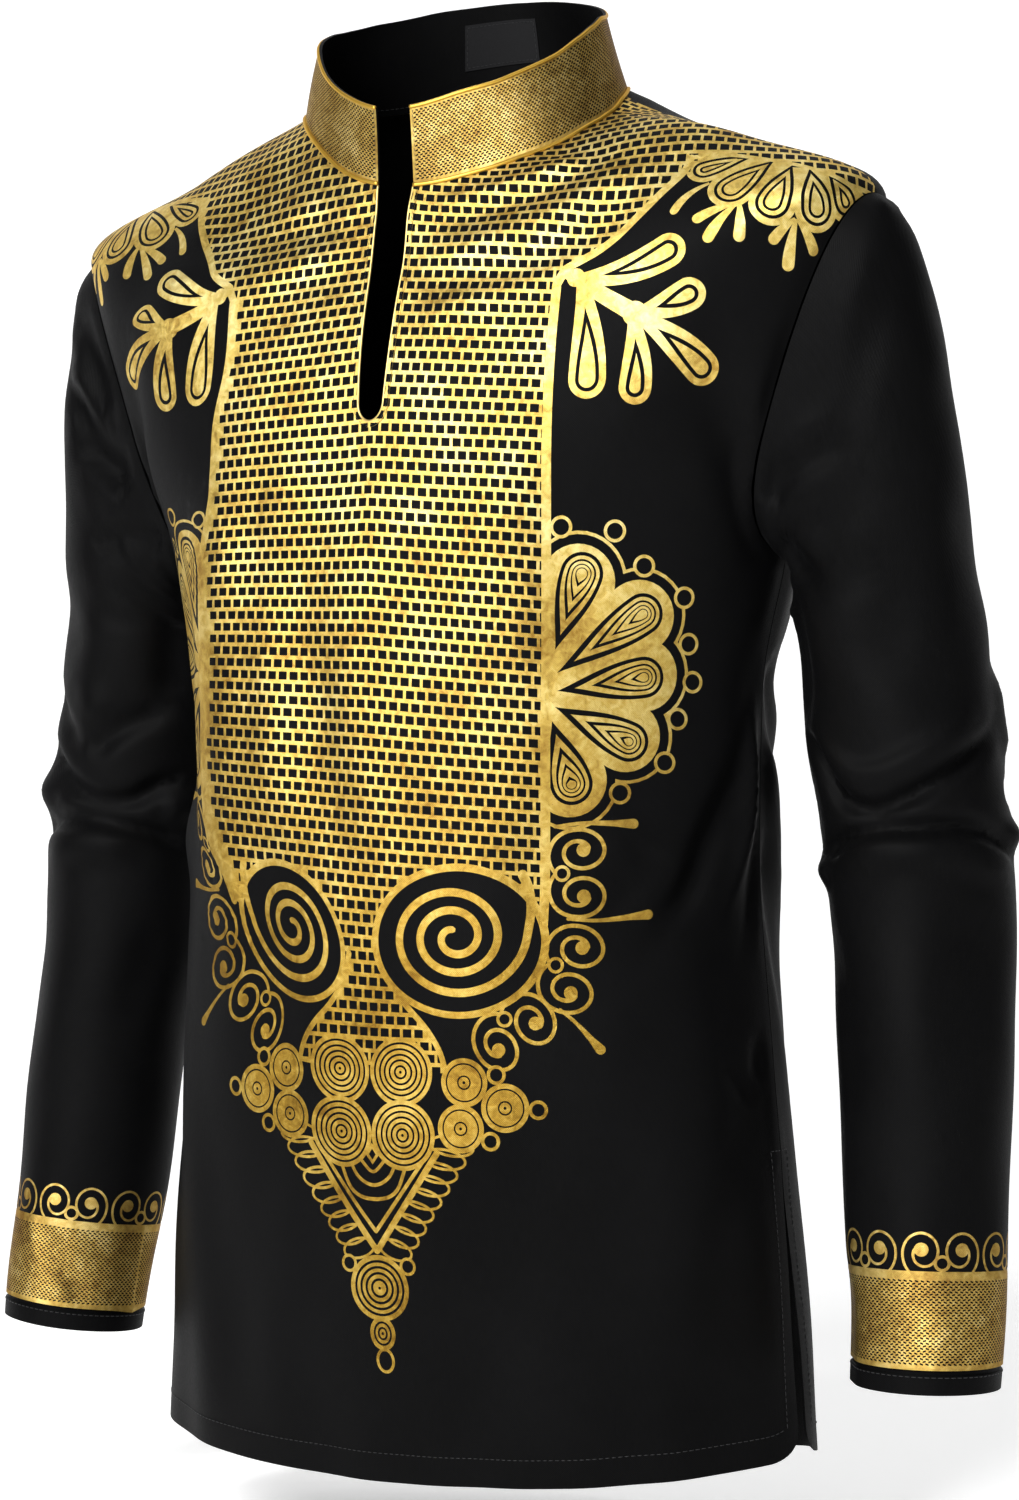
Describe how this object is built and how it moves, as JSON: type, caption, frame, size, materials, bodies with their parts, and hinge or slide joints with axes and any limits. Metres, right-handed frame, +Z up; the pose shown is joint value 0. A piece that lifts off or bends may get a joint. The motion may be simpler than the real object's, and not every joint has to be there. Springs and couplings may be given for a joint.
{
  "type": "dashiki shirt",
  "caption": "Long-sleeved dashiki shirt in black cloth with a gold print, stand collar, open neck slit and side vents, hollow as if worn.",
  "frame": {"origin": "middle of the neck, level with the side neck points, where the wearer's shoulders carry the shirt", "axes": "+Z up the body, the shirt faces -Y, and the wearer's left is +X"},
  "size_m": [0.59, 0.226, 0.772],
  "materials": {
    "black_cloth": "black poplin with a soft satin sheen",
    "gold_print": "crinkled gold foil printed on the cloth",
    "slit_edge": "narrow turned edge with worn gold foil",
    "label_cloth": "plain woven tape",
    "thread": "black sewing thread"
  },
  "bodies": {
    "root": {"front": "black_cloth", "back": "black_cloth", "sleeve_left": "black_cloth", "sleeve_right": "black_cloth", "collar": "black_cloth", "slit_edge": "slit_edge", "neck_label": "label_cloth"}
  },
  "joints": []
}
